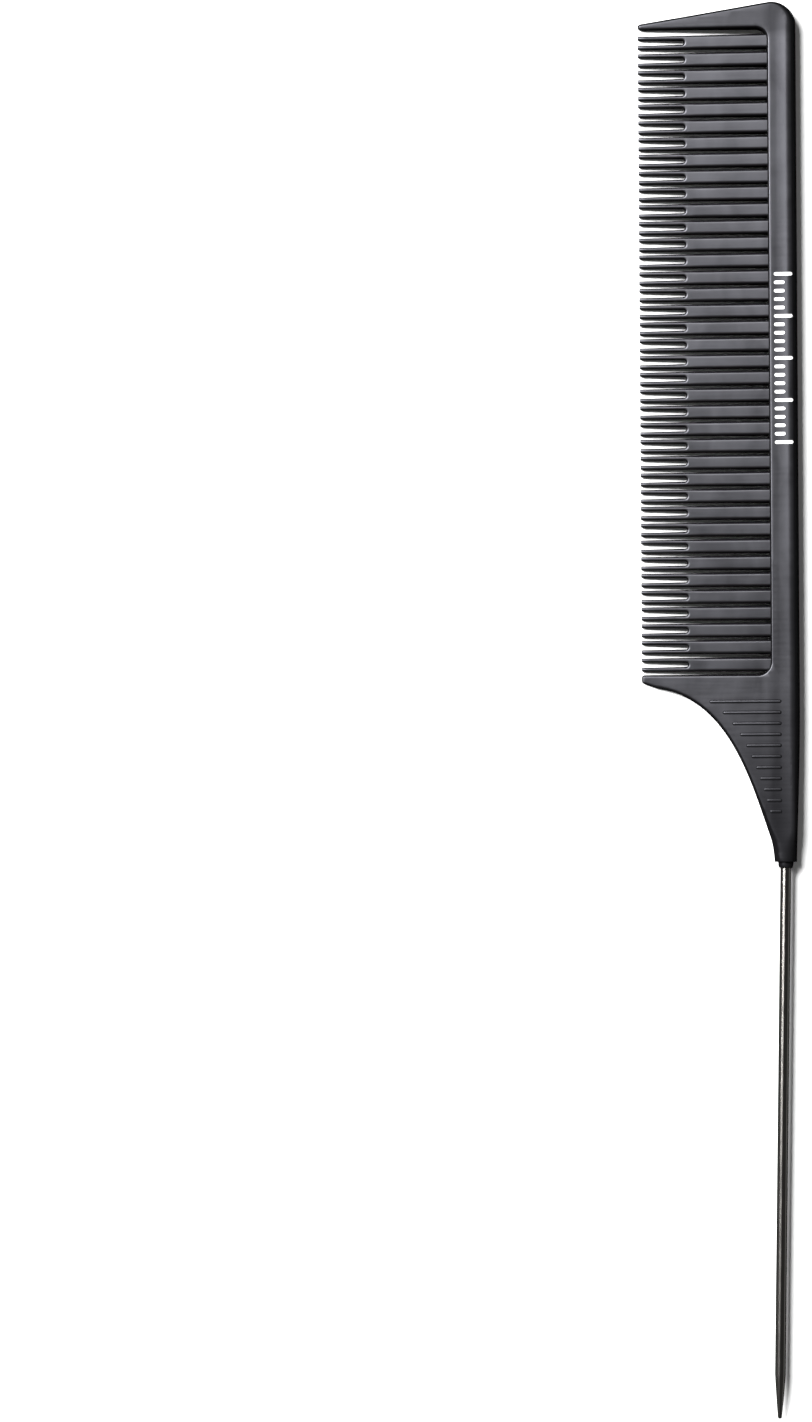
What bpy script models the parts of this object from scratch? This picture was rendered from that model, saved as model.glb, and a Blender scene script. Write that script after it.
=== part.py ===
"""Rat tail comb: a moulded parting comb with forked teeth and a steel pin tail.

The comb lies flat on one broad side. +Y points to the head end, -Y to the tip of
the tail, -X to the tooth tips, +X to the back of the spine and +Z up. The origin
is the middle of the bounding box on the plane that the comb rests on.

In the plan view two distances place everything: "down" is measured from the head
end towards the tail, and "in" is measured from the back towards the tooth tips.
"""

import math

import bmesh
import bpy
from mathutils import Matrix, Vector

MM = 0.001

# Overall size
OVERALL_LENGTH = 236.4 * MM
COMB_WIDTH = 26.3 * MM
BODY_LENGTH = 143.5 * MM
THICKNESS = 4.2 * MM

# Spine and frame, seen in section across the comb
STEP_IN = 4.83 * MM            # where the thick frame steps down to the teeth
CREST_START_IN = 1.5 * MM      # the back is round up to here
CREST_END_IN = 3.0 * MM        # the crest is flat up to here
PLATEAU_START_IN = 3.4 * MM
PLATEAU_THICKNESS = 3.86 * MM
ARM_TIP_THICKNESS = 1.2 * MM

# Head arm and head corner
HEAD_CORNER_RADIUS = 4.25 * MM
ARM_TIP_IN = 25.75 * MM
ARM_TIP_DOWN = 4.03 * MM
ARM_TIP_RADIUS = 0.55 * MM

# Window that holds the teeth
WINDOW_TOP_DOWN = 4.55 * MM
WINDOW_BOTTOM_DOWN = 112.2 * MM
WINDOW_TOP_RADIUS = 1.84 * MM
WINDOW_BOTTOM_RADIUS = 2.1 * MM

# Teeth: forks that each split into two tines
FORK_COUNT = 38
FORK_PITCH = 2.8 * MM
FIRST_FORK_DOWN = 6.8 * MM
END_FORK_SHIFT = 0.12 * MM     # the two end forks stand a little further out
FORK_ROOT_WIDTH = 2.37 * MM
FORK_TIP_WIDTH = 2.22 * MM
FORK_ROOT_THICKNESS = 3.0 * MM
FORK_TIP_THICKNESS = 1.1 * MM
FORK_EMBED = 1.2 * MM          # how far a fork runs into the spine
SLOT_END_IN = STEP_IN + 13.9 * MM
SLOT_ROOT_WIDTH = 0.7 * MM
SLOT_TIP_WIDTH = 0.86 * MM

# Handle
HANDLE_TOP_DOWN = 113.69 * MM
SHOULDER_IN = 24.02 * MM
SHOULDER_DOWN = 114.38 * MM
NECK_WIDTH = 3.72 * MM
NECK_BACK_IN = 0.66 * MM
NECK_ALLOWANCE = 0.03 * MM     # keeps the rounding clear of the plan outline
RIB_COUNT = 11
RIB_PITCH = 1.835 * MM
FIRST_RIB_DOWN = 116.72 * MM
RIB_WIDTH = 0.46 * MM
RIB_END_IN = 3.05 * MM
RIB_PLATEAU_THICKNESS = 4.12 * MM
RIB_ARM_TIP_THICKNESS = 1.7 * MM
RIB_FIRST_INSET = 2.7 * MM     # gap from the outline to the first rib
RIB_LAST_INSET = 1.4 * MM

# Collar and tail pin
COLLAR_BASE_RADIUS = 1.28 * MM
COLLAR_END_RADIUS = 1.04 * MM
COLLAR_LENGTH = 1.0 * MM
PIN_RADIUS = 0.9 * MM
PIN_TIP_RADIUS = 0.36 * MM
PIN_TAPER_LENGTH = 7.5 * MM
PIN_ROOT_LENGTH = 24.0 * MM
PIN_CANT_DEGREES = 1.0
GROOVE_COUNT = 4
GROOVE_PITCH = 4.0 * MM
GROOVE_WIDTH = 1.2 * MM
GROOVE_DEPTH = 0.2 * MM
SOCKET_CLEARANCE = 0.03 * MM
PIN_SEGMENTS = 24

# Construction
ARC_STEPS = 8
HANDLE_CURVE_STEPS = 18
EDGE_ROUNDING = 0.4 * MM
MARGIN = 2.0 * MM              # how far a cutting solid runs past what it trims
MERGE_DISTANCE = 0.00005 * MM


def plan(distance_in, distance_down):
    """World X and Y of a point given from the back and from the head end."""
    return (COMB_WIDTH / 2 - distance_in, OVERALL_LENGTH / 2 - distance_down)


def lerp(start, end, fraction):
    return start + (end - start) * fraction


def arc(centre_in, centre_down, radius, start_degrees, end_degrees, steps=ARC_STEPS):
    """Plan points on an arc; 0 degrees points to the back, 90 to the head end."""
    points = []
    for step in range(steps + 1):
        angle = math.radians(lerp(start_degrees, end_degrees, step / steps))
        along_in = centre_in - radius * math.cos(angle)
        along_down = centre_down - radius * math.sin(angle)
        points.append(plan(along_in, along_down))
    return points


def bezier(start, first_handle, second_handle, end, steps):
    """Points on a cubic curve, given as distances in and down, in millimetres."""
    corners = [Vector(corner) for corner in (start, first_handle, second_handle, end)]
    weights = (1, 3, 3, 1)
    points = []
    for step in range(steps + 1):
        t = step / steps
        total = Vector((0.0, 0.0))
        for power, corner in enumerate(corners):
            total += corner * weights[power] * (t ** power) * ((1 - t) ** (3 - power))
        points.append(total * MM)
    return points


# Modelling helpers


def new_collection(name):
    collection = bpy.data.collections.new(name)
    bpy.context.scene.collection.children.link(collection)
    return collection


def new_material(name, colour, roughness, metallic):
    material = bpy.data.materials.new(name)
    material.use_nodes = True
    shader = material.node_tree.nodes["Principled BSDF"]
    shader.inputs["Base Color"].default_value = (*colour, 1.0)
    shader.inputs["Roughness"].default_value = roughness
    shader.inputs["Metallic"].default_value = metallic
    return material


def flat_outlines(name, outlines, height, rounding, collection):
    """One 2D curve with a closed polygon for each outline, as deep as height."""
    curve = bpy.data.curves.new(name, "CURVE")
    curve.dimensions = "2D"
    curve.fill_mode = "BOTH"
    curve.extrude = height / 2 - rounding
    curve.bevel_depth = rounding
    curve.bevel_resolution = 1
    curve.offset = -rounding
    for outline in outlines:
        spline = curve.splines.new("POLY")
        spline.points.add(len(outline) - 1)
        for point, (x, y) in zip(spline.points, outline):
            point.co = (x, y, 0.0, 1.0)
        spline.use_cyclic_u = True
    solid = bpy.data.objects.new(name, curve)
    collection.objects.link(solid)
    return solid


def curve_to_mesh(curve_object, collection):
    """Replace a curve object by a closed mesh object of the same name and place."""
    bpy.context.view_layer.update()
    graph = bpy.context.evaluated_depsgraph_get()
    mesh = bpy.data.meshes.new_from_object(curve_object.evaluated_get(graph))
    work = bmesh.new()
    work.from_mesh(mesh)
    bmesh.ops.remove_doubles(work, verts=work.verts, dist=MERGE_DISTANCE)
    bmesh.ops.recalc_face_normals(work, faces=work.faces)
    work.to_mesh(mesh)
    work.free()
    name = curve_object.name
    solid = bpy.data.objects.new(name + "_mesh", mesh)
    solid.matrix_world = curve_object.matrix_world
    bpy.data.objects.remove(curve_object)
    solid.name = name
    collection.objects.link(solid)
    return solid


def hide_cutter(cutter):
    cutter.hide_render = True
    cutter.display_type = "WIRE"


def boolean(target, tool, operation):
    modifier = target.modifiers.new(operation.lower() + "_" + tool.name, "BOOLEAN")
    modifier.operation = operation
    modifier.solver = "EXACT"
    modifier.object = tool
    hide_cutter(tool)


def section_prism(name, half_section, start_down, end_down, collection):
    """A bar along Y whose section is half_section and its mirror image.

    half_section lists (distance in, height above the middle plane) from the back
    to the tooth tips.
    """
    upper = [(COMB_WIDTH / 2 - distance_in, height) for distance_in, height in half_section]
    lower = [(x, -height) for x, height in reversed(upper) if height > 0]
    length = end_down - start_down
    prism = flat_outlines(name, [upper + lower], length, 0.0, collection)
    middle_y = plan(0.0, (start_down + end_down) / 2)[1]
    prism.matrix_world = (
        Matrix.Translation((0.0, middle_y, THICKNESS / 2))
        @ Matrix.Rotation(math.radians(90.0), 4, "X")
    )
    return curve_to_mesh(prism, collection)


def slab(name, outlines, height, rounding, collection):
    """A flat plate of the given plan outlines, centred on the middle plane."""
    plate = flat_outlines(name, outlines, height, rounding, collection)
    plate.location.z = THICKNESS / 2
    return curve_to_mesh(plate, collection)


# Frame: spine, head arm, lower arm and handle


def head_outline():
    """Plan points round the head, from the spine's back to the arm's inner edge."""
    rise = HEAD_CORNER_RADIUS - ARM_TIP_RADIUS
    run = ARM_TIP_IN - HEAD_CORNER_RADIUS
    drop = ARM_TIP_DOWN - HEAD_CORNER_RADIUS
    slope = math.degrees(math.asin(rise / run) + math.atan(drop / run))
    corner = arc(HEAD_CORNER_RADIUS, HEAD_CORNER_RADIUS, HEAD_CORNER_RADIUS, 0, 90 + slope)
    tip = arc(ARM_TIP_IN, ARM_TIP_DOWN, ARM_TIP_RADIUS, 90 + slope, 270)
    return corner + tip


def window_outline():
    """Plan points along the window's edge, from the head arm to the lower arm."""
    top = WINDOW_TOP_RADIUS
    bottom = WINDOW_BOTTOM_RADIUS
    points = arc(STEP_IN + top, WINDOW_TOP_DOWN + top, top, 90, 0)
    points += arc(STEP_IN + bottom, WINDOW_BOTTOM_DOWN - bottom, bottom, 0, -90)
    return points


def handle_edge():
    """Distances in and down along the handle's concave edge, shoulder to neck."""
    curve = bezier(
        (SHOULDER_IN / MM, SHOULDER_DOWN / MM),
        (11.85, 116.1),
        (8.24, 130.17),
        (5.08, 139.27),
        HANDLE_CURVE_STEPS,
    )
    neck_in = NECK_BACK_IN + NECK_WIDTH
    curve.append(Vector((neck_in + 0.16 * MM, BODY_LENGTH - 1.6 * MM)))
    curve.append(Vector((neck_in, BODY_LENGTH)))
    return curve


def handle_outline():
    """Plan points from the lower arm's tip round the handle to the spine's back."""
    tip_top = WINDOW_BOTTOM_DOWN + 0.02 * MM
    points = [
        plan(COMB_WIDTH - 0.25 * MM, tip_top),
        plan(COMB_WIDTH, tip_top + 0.25 * MM),
        plan(COMB_WIDTH, HANDLE_TOP_DOWN - 0.3 * MM),
        plan(COMB_WIDTH - 0.35 * MM, HANDLE_TOP_DOWN),
    ]
    points += [plan(*point) for point in handle_edge()]
    back = bezier(
        (NECK_BACK_IN / MM, BODY_LENGTH / MM),
        (0.55, 137.0),
        (0.0, 129.0),
        (0.0, 115.0),
        ARC_STEPS,
    )
    points += [plan(*point) for point in back]
    return points


def frame_half_section():
    """Half section of the frame: round back, crest, plateau, thinner arm tips."""
    crest = THICKNESS / 2
    points = []
    for step in range(ARC_STEPS + 1):
        angle = math.radians(90.0 * step / ARC_STEPS)
        distance_in = CREST_START_IN * (1 - math.sin(angle))
        points.append((distance_in, crest * math.cos(angle)))
    points.reverse()
    points[0] = (0.0, 0.0)
    points.append((CREST_END_IN, crest))
    points.append((PLATEAU_START_IN, PLATEAU_THICKNESS / 2))
    points.append((STEP_IN, PLATEAU_THICKNESS / 2))
    points.append((COMB_WIDTH, ARM_TIP_THICKNESS / 2))
    return points


def make_frame(collection, cutters):
    outline = head_outline() + window_outline() + handle_outline()
    frame = slab("comb_body", [outline], THICKNESS, EDGE_ROUNDING, collection)
    section = section_prism(
        "frame_section", frame_half_section(), -MARGIN, BODY_LENGTH + MARGIN, cutters
    )
    boolean(frame, section, "INTERSECT")
    return frame


# Teeth


def fork_outline(centre_down):
    """Plan outline of one fork: a tapered bar split by a round-ended slot."""
    root_half = FORK_ROOT_WIDTH / 2
    tip_half = FORK_TIP_WIDTH / 2
    slot_half = SLOT_TIP_WIDTH / 2
    slot_radius = SLOT_ROOT_WIDTH / 2
    points = [
        plan(STEP_IN - FORK_EMBED, centre_down - root_half),
        plan(STEP_IN - FORK_EMBED, centre_down + root_half),
        plan(STEP_IN, centre_down + root_half),
        plan(COMB_WIDTH, centre_down + tip_half),
        plan(COMB_WIDTH, centre_down + slot_half),
    ]
    points += arc(SLOT_END_IN + slot_radius, centre_down, slot_radius, -90, 90, 6)
    points += [
        plan(COMB_WIDTH, centre_down - slot_half),
        plan(COMB_WIDTH, centre_down - tip_half),
        plan(STEP_IN, centre_down - root_half),
    ]
    return points


def fork_centres():
    centres = [FIRST_FORK_DOWN + FORK_PITCH * index for index in range(FORK_COUNT)]
    centres[0] -= END_FORK_SHIFT
    centres[-1] += END_FORK_SHIFT
    return centres


def fork_half_section():
    """Half section along a tine: a wedge that thins towards a rounded tip."""
    tip_half = FORK_TIP_THICKNESS / 2
    root_half = FORK_ROOT_THICKNESS / 2
    tip_centre_in = COMB_WIDTH - tip_half
    points = [(STEP_IN - FORK_EMBED - MARGIN, root_half), (STEP_IN, root_half)]
    for step in range(5):
        angle = math.radians(90.0 * step / 4)
        distance_in = tip_centre_in + tip_half * math.sin(angle)
        points.append((distance_in, tip_half * math.cos(angle)))
    points[-1] = (COMB_WIDTH, 0.0)
    return points


def make_forks(cutters):
    outlines = [fork_outline(centre) for centre in fork_centres()]
    forks = slab("forks", outlines, THICKNESS + MARGIN, 0.0, cutters)
    section = section_prism("fork_section", fork_half_section(), 0.0, BODY_LENGTH, cutters)
    boolean(forks, section, "INTERSECT")
    return forks


# Grip ribs on both faces of the handle


def edge_in_at(distance_down):
    """How far in from the back the handle's concave edge is at a given level."""
    edge = handle_edge()
    for upper, lower in zip(edge, edge[1:]):
        if upper.y <= distance_down <= lower.y:
            fraction = (distance_down - upper.y) / (lower.y - upper.y)
            return lerp(upper.x, lower.x, fraction)
    return edge[-1].x


def rib_outline(index):
    """Plan outline of one rib: a straight bar with round ends."""
    centre_down = FIRST_RIB_DOWN + RIB_PITCH * index
    inset = lerp(RIB_FIRST_INSET, RIB_LAST_INSET, index / (RIB_COUNT - 1))
    radius = RIB_WIDTH / 2
    far_in = edge_in_at(centre_down) - inset
    points = arc(far_in - radius, centre_down, radius, 90, 270, 4)
    points += arc(RIB_END_IN + radius, centre_down, radius, -90, 90, 4)
    return points


def make_ribs(cutters):
    outlines = [rib_outline(index) for index in range(RIB_COUNT)]
    ribs = slab("ribs", outlines, THICKNESS + MARGIN, 0.0, cutters)
    half_section = [
        (0.0, RIB_PLATEAU_THICKNESS / 2),
        (STEP_IN, RIB_PLATEAU_THICKNESS / 2),
        (COMB_WIDTH, RIB_ARM_TIP_THICKNESS / 2),
    ]
    section = section_prism("rib_section", half_section, HANDLE_TOP_DOWN, BODY_LENGTH, cutters)
    boolean(ribs, section, "INTERSECT")
    return ribs


# Neck, collar, socket and tail pin


def pin_axis_matrix():
    """Frame at the neck's end face: local -Z runs along the pin to its tip."""
    exit_x, exit_y = plan(NECK_BACK_IN + NECK_WIDTH / 2, BODY_LENGTH)
    lean = Matrix.Rotation(math.radians(-PIN_CANT_DEGREES), 4, "Z")
    lay_down = Matrix.Rotation(math.radians(-90.0), 4, "X")
    return Matrix.Translation((exit_x, exit_y, THICKNESS / 2)) @ lean @ lay_down


def pin_length():
    """Length of pin outside the neck, so that the comb has its overall length."""
    return (OVERALL_LENGTH - BODY_LENGTH) / math.cos(math.radians(PIN_CANT_DEGREES))


def root_profile(clearance):
    """Radius and height down the embedded, grooved root of the pin."""
    radius = PIN_RADIUS + clearance
    points = [(0.0, PIN_ROOT_LENGTH + clearance), (radius, PIN_ROOT_LENGTH + clearance)]
    for index in range(GROOVE_COUNT):
        top = PIN_ROOT_LENGTH - GROOVE_PITCH * (index + 0.5)
        bottom = top - GROOVE_WIDTH
        slant = GROOVE_DEPTH
        points.append((radius, top - clearance))
        points.append((radius - GROOVE_DEPTH, top - slant - clearance))
        points.append((radius - GROOVE_DEPTH, bottom + slant + clearance))
        points.append((radius, bottom + clearance))
    return points


def tip_profile():
    """Radius and height down the exposed pin to its rounded point."""
    end = -pin_length()
    points = [(PIN_RADIUS, end + PIN_TAPER_LENGTH)]
    for step in range(5):
        angle = math.radians(90.0 * step / 4)
        radius = PIN_TIP_RADIUS * math.cos(angle)
        height = end + PIN_TIP_RADIUS * (1 - math.sin(angle))
        points.append((radius, height))
    points[-1] = (0.0, end)
    return points


def turned(name, profile, collection):
    """A solid of revolution about the pin's axis from a profile in local XZ."""
    mesh = bpy.data.meshes.new(name)
    work = bmesh.new()
    verts = [work.verts.new((radius, 0.0, height)) for radius, height in profile]
    for upper, lower in zip(verts, verts[1:]):
        work.edges.new((upper, lower))
    work.to_mesh(mesh)
    work.free()
    solid = bpy.data.objects.new(name, mesh)
    solid.matrix_world = pin_axis_matrix()
    collection.objects.link(solid)
    screw = solid.modifiers.new("turn", "SCREW")
    screw.axis = "Z"
    screw.steps = PIN_SEGMENTS
    screw.render_steps = PIN_SEGMENTS
    screw.use_merge_vertices = True
    screw.merge_threshold = 0.001 * MM
    return solid


def make_neck_envelope(cutters):
    """A trumpet round the pin's axis that rounds the handle down to a round neck."""
    axis_in = NECK_BACK_IN + NECK_WIDTH / 2
    edge = handle_edge()
    widest = edge[0].x - axis_in + MARGIN
    profile = [(0.0, BODY_LENGTH + MARGIN), (widest, BODY_LENGTH + MARGIN)]
    for point in edge:
        radius = point.x - axis_in + NECK_ALLOWANCE
        profile.append((radius, BODY_LENGTH - point.y))
    profile.append((profile[-1][0], -MARGIN))
    profile.append((0.0, -MARGIN))
    return turned("neck_envelope", profile, cutters)


def make_socket(cutters):
    profile = root_profile(SOCKET_CLEARANCE)
    mouth = -(COLLAR_LENGTH + MARGIN)
    profile.append((PIN_RADIUS + SOCKET_CLEARANCE, mouth))
    profile.append((0.0, mouth))
    return turned("pin_socket", profile, cutters)


def make_collar(cutters):
    profile = [
        (0.0, MARGIN),
        (COLLAR_BASE_RADIUS, MARGIN),
        (COLLAR_BASE_RADIUS, 0.0),
        (COLLAR_END_RADIUS, -COLLAR_LENGTH),
        (0.0, -COLLAR_LENGTH),
    ]
    return turned("collar", profile, cutters)


def make_pin(collection):
    return turned("tail_pin", root_profile(0.0) + tip_profile(), collection)


def make_body(collection, cutters):
    body = make_frame(collection, cutters)
    boolean(body, make_neck_envelope(cutters), "INTERSECT")
    boolean(body, make_forks(cutters), "UNION")
    boolean(body, make_ribs(cutters), "UNION")
    boolean(body, make_collar(cutters), "UNION")
    boolean(body, make_socket(cutters), "DIFFERENCE")
    return body


def clear_scene():
    for old in list(bpy.data.objects):
        bpy.data.objects.remove(old, do_unlink=True)


def main():
    clear_scene()
    parts = new_collection("rat_tail_comb")
    cutters = new_collection("cutters")
    body = make_body(parts, cutters)
    body.data.materials.append(new_material("carbon_plastic", (0.02, 0.02, 0.022), 0.4, 0.0))
    pin = make_pin(parts)
    pin.data.materials.append(new_material("steel", (0.55, 0.53, 0.5), 0.2, 1.0))


main()
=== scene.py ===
"""Looks of the rat tail comb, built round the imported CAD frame.

Plan positions are in millimetres: "inward" is measured from the back of the spine
towards the tooth tips (-X) and "down" from the head end towards the tail (-Y).
Heights are measured from the middle plane of the comb.
"""

import math

import bmesh
import bpy
from mathutils import Matrix, Vector
from mathutils.geometry import delaunay_2d_cdt


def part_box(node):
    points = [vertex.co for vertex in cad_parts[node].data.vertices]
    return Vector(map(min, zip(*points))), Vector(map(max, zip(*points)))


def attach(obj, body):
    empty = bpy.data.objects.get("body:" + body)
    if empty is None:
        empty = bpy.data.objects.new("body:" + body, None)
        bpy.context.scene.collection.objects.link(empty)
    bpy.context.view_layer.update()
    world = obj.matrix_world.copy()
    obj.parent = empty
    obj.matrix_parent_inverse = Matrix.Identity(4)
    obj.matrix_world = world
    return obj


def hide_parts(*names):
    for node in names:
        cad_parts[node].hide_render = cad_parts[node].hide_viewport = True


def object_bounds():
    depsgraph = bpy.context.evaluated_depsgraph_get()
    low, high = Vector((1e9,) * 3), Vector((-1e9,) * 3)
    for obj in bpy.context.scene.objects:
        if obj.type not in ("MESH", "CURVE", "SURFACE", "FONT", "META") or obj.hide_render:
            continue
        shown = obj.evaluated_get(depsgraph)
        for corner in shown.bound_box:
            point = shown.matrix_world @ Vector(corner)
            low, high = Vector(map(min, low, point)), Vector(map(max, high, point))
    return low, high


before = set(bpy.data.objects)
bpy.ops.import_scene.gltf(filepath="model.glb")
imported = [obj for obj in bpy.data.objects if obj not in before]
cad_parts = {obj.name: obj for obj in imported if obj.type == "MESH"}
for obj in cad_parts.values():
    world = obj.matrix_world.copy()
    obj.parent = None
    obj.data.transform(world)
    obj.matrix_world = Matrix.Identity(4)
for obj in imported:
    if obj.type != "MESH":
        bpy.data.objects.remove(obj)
cad_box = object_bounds()
body_low, body_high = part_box("comb_body")

MM = 0.001
MIDDLE_Z = (body_low[2] + body_high[2]) / 2
COMB_WIDTH = (body_high[0] - body_low[0]) / MM
OVERALL_LENGTH = (cad_box[1][1] - cad_box[0][1]) / MM
BOX_CLEARANCE = 0.02           # keeps the print and the ribs inside the frame's box
CREST_HALF = (body_high[2] - body_low[2]) / 2 / MM - BOX_CLEARANCE
BODY_LENGTH = 143.5

# Spine, arms and handle
STEP_IN = 4.83                 # where the spine ends and the teeth start
RAMP_START = 1.5               # the crest slopes down from here
RAMP_END = 3.5                 # to the flat part of the spine
RAMP_POWER = 1.6
CREST_FADE_ANGLE = 1.5         # radians of the head's corner over which the crest fades
PLATEAU_HALF = 1.93
ARM_TIP_HALF = 0.52
HEAD_RADIUS = 3.95
HEAD_DROP = 0.16               # how far the head's top edge is below the frame's end
ARM_TIP = (25.75, 4.03)
ARM_TIP_RADIUS = 0.55
WINDOW_TOP = 4.55
WINDOW_BOTTOM = 112.2
WINDOW_TOP_RADIUS = 1.84
WINDOW_BOTTOM_RADIUS = 2.1
LOWER_TIP_RADIUS = 0.45
HANDLE_TOP = 113.69
HANDLE_CURVE = ((24.02, 114.38), (11.85, 116.1), (8.24, 130.17), (5.08, 139.27))
BACK_CURVE = ((0.66, 143.5), (0.55, 137.0), (0.0, 129.0), (0.0, 115.0))
NECK_BACK = 0.66
NECK_WIDTH = 3.72
NECK_FRONT = NECK_BACK + NECK_WIDTH
NECK_AXIS = NECK_BACK + NECK_WIDTH / 2
NECK_CURVE = (HANDLE_CURVE[-1], (4.72, 140.3), (NECK_FRONT + 0.08, 141.8), (NECK_FRONT, BODY_LENGTH))
NECK_ALLOWANCE = 0.03
NECK_BLEND = 0.5               # how softly the flat spine runs into the round neck
LEAST_NECK_SQUARE = 0.05       # mm2; keeps the round neck's rim from closing up

# Widths of the rounded edges, seen from above, and their depths
BACK_EDGE = 1.4
ARM_EDGE = 0.5
WINDOW_EDGE = 0.42
TIP_EDGE = 0.4
HANDLE_EDGE = 0.6
NECK_EDGE = 0.5
NECK_END_EDGE = 0.12
EDGE_DEPTH = 1.8               # how deep a rounded edge is, in widths of the edge
MOST_DEPTH = 0.85              # and at most this share of the half thickness

# Grip ribs
RIB_COUNT = 11
RIB_PITCH = 1.835
FIRST_RIB = 116.72
RIB_END = 3.05                 # where the ribs stop, next to the crest
RIB_FIRST_INSET = 2.7
RIB_LAST_INSET = 1.4
RIB_FIRST_HEIGHT = 0.16
RIB_LAST_HEIGHT = 0.09
RIB_BASE_HALF_WIDTH = 0.3
RIB_STEPS = ((1.0, 0.0), (0.8, 0.35), (0.55, 0.8), (0.25, 1.0))  # shares of width and height

# Fineness of the frame's mesh
OUTLINE_SPACING = 1.1
OUTLINE_PASSES = 2
EDGE_STEPS = 7
CORNER_STEPS = 10
RIB_SPACING = 0.7
FIRST_COLUMN = 0.75
FINE_COLUMN_STEP = 0.25
CREST_COLUMNS = 12
NECK_COLUMNS = 22
NECK_DETAIL = 127.0            # below this level the fine columns reach further in
COLUMN_GAP = 0.6               # from the last fine column to the first coarse one
SAME_PLACE = 0.001             # points closer than this count as one
ROW_MATCH = 0.01               # how closely a ring point lies on the back's inner edge
HEAD_ROW_STEP = 0.9
HEAD_ROWS = 4
GRID_STEP = 0.7
RING_CLEARANCE = 0.16          # least distance of a grid point from the edge's inner ring
RIB_CLEARANCE = 0.12           # and from a rib
RIB_REACH = 1.0                # a rib only matters to grid points this close along the comb

# Forks, each split into two tines
FORK_COUNT = 38
FORK_PITCH = 2.8
FIRST_FORK = 6.8
END_FORK_SHIFT = 0.12
FORK_LENGTH = COMB_WIDTH - STEP_IN
FORK_EMBED = 1.2
FORK_ROOT_HALF_WIDTH = 1.185
FORK_TIP_HALF_WIDTH = 1.11
FORK_ROOT_HALF = 1.5
FORK_TIP_HALF = 0.48
FORK_EDGE = 0.5
WALL_SHARE_ROOT = 0.62         # share of a fork's height that is upright wall
WALL_SHARE_TIP = 0.45
EDGE_BLEND_LEAD = 2.5          # the block's edge starts to narrow this far before the slot
EDGE_BLEND_LENGTH = 2.85
SLOT_START = 13.72
SLOT_RADIUS = 0.35
SLOT_TIP_HALF_WIDTH = 0.43
TINE_TIP_ROUND = 0.14

# Pin and collar
PIN_RADIUS = 0.9
PIN_TIP_RADIUS = 0.36
PIN_TAPER = 7.5
PIN_TAPER_POWER = 1.15
PIN_ROOT = 24.0
PIN_CANT_DEGREES = 1.0
PIN_SEGMENTS = 64
COLLAR_LENGTH = 1.0
COLLAR_BASE_RADIUS = 1.28
COLLAR_END_RADIUS = 1.04
COLLAR_EMBED = 2.0
SOCKET_CLEARANCE = 0.03
SOCKET_OVERRUN = 1.0

# Spot on the grip given a painted sheen, and how far round that point it shows
PAINTED_SHEEN_SPOT = (14.5, 117.5)
PAINTED_SHEEN_REACH = 11.0

# Printed scale on the spine
MARK_COUNT = 21
MARK_PITCH = 1.4
FIRST_MARK = 45.6
MARK_WIDTH = 0.55
LONG_MARK = (0.8, 3.85)
SHORT_MARK = (2.1, 3.85)
LONG_MARK_EVERY = 5
MARK_END_SHARE = 0.2           # width of a mark's blunt end
INK_THICKNESS = 0.015
INK_EMBED = 0.02

# Least angles, in degrees, at which an edge stays sharp
BODY_SHARP_ANGLE = 26
PIN_SHARP_ANGLE = 38
INK_SHARP_ANGLE = 40

# How the comb lies: on its crest and on the thinner tips of its arms
CREST_REST_IN = 2.2
ARM_REST_HEIGHT = (body_high[2] - body_low[2]) / 2 / MM - ARM_TIP_HALF
REST_TILT = math.atan(ARM_REST_HEIGHT / (COMB_WIDTH - CREST_REST_IN))


def lerp(start, end, fraction):
    return start + (end - start) * fraction


def clamp(value):
    return min(max(value, 0.0), 1.0)


def smooth_step(value):
    value = clamp(value)
    return value * value * (3 - 2 * value)


def smooth_min(first, second, blend):
    """The smaller of two values, rounded off where they cross."""
    overlap = max(blend - abs(first - second), 0.0) / blend
    return min(first, second) - overlap * overlap * blend / 4


def quarter_angles(steps):
    return [math.pi / 2 * step / steps for step in range(steps + 1)]


def bezier(corners, steps):
    weights = (1, 3, 3, 1)
    points = []
    for step in range(steps + 1):
        t = step / steps
        total = Vector((0.0, 0.0))
        for power, corner in enumerate(corners):
            total += Vector(corner) * weights[power] * t ** power * (1 - t) ** (3 - power)
        points.append(total)
    return points


# Plan outline of the frame, as (position, width of the rounded edge)


def arc(centre, radius, start_degrees, end_degrees, edge, steps):
    """Points on an arc; 0 degrees points to the back and 90 to the head end."""
    points = []
    for step in range(steps + 1):
        angle = math.radians(lerp(start_degrees, end_degrees, step / steps))
        offset = Vector((math.cos(angle), math.sin(angle))) * radius
        points.append((Vector(centre) - offset, edge))
    return points


def handle_edge():
    """Positions along the handle's concave edge, from the shoulder to the neck."""
    return bezier(HANDLE_CURVE, 36) + bezier(NECK_CURVE, 6)[1:]


HANDLE_POINTS = handle_edge()


def head_points():
    rise = HEAD_RADIUS - ARM_TIP_RADIUS
    run = ARM_TIP[0] - HEAD_RADIUS
    drop = ARM_TIP[1] - HEAD_RADIUS - HEAD_DROP
    slope = math.degrees(math.asin(rise / run) + math.atan(drop / run))
    centre = (HEAD_RADIUS, HEAD_RADIUS + HEAD_DROP)
    steps = 20
    corner = []
    for step, (point, _) in enumerate(arc(centre, HEAD_RADIUS, 0, 90 + slope, 0, steps)):
        corner.append((point, lerp(BACK_EDGE, ARM_EDGE, smooth_step(step / steps))))
    return corner + arc(ARM_TIP, ARM_TIP_RADIUS, 90 + slope, 270, ARM_EDGE, 12)


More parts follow.
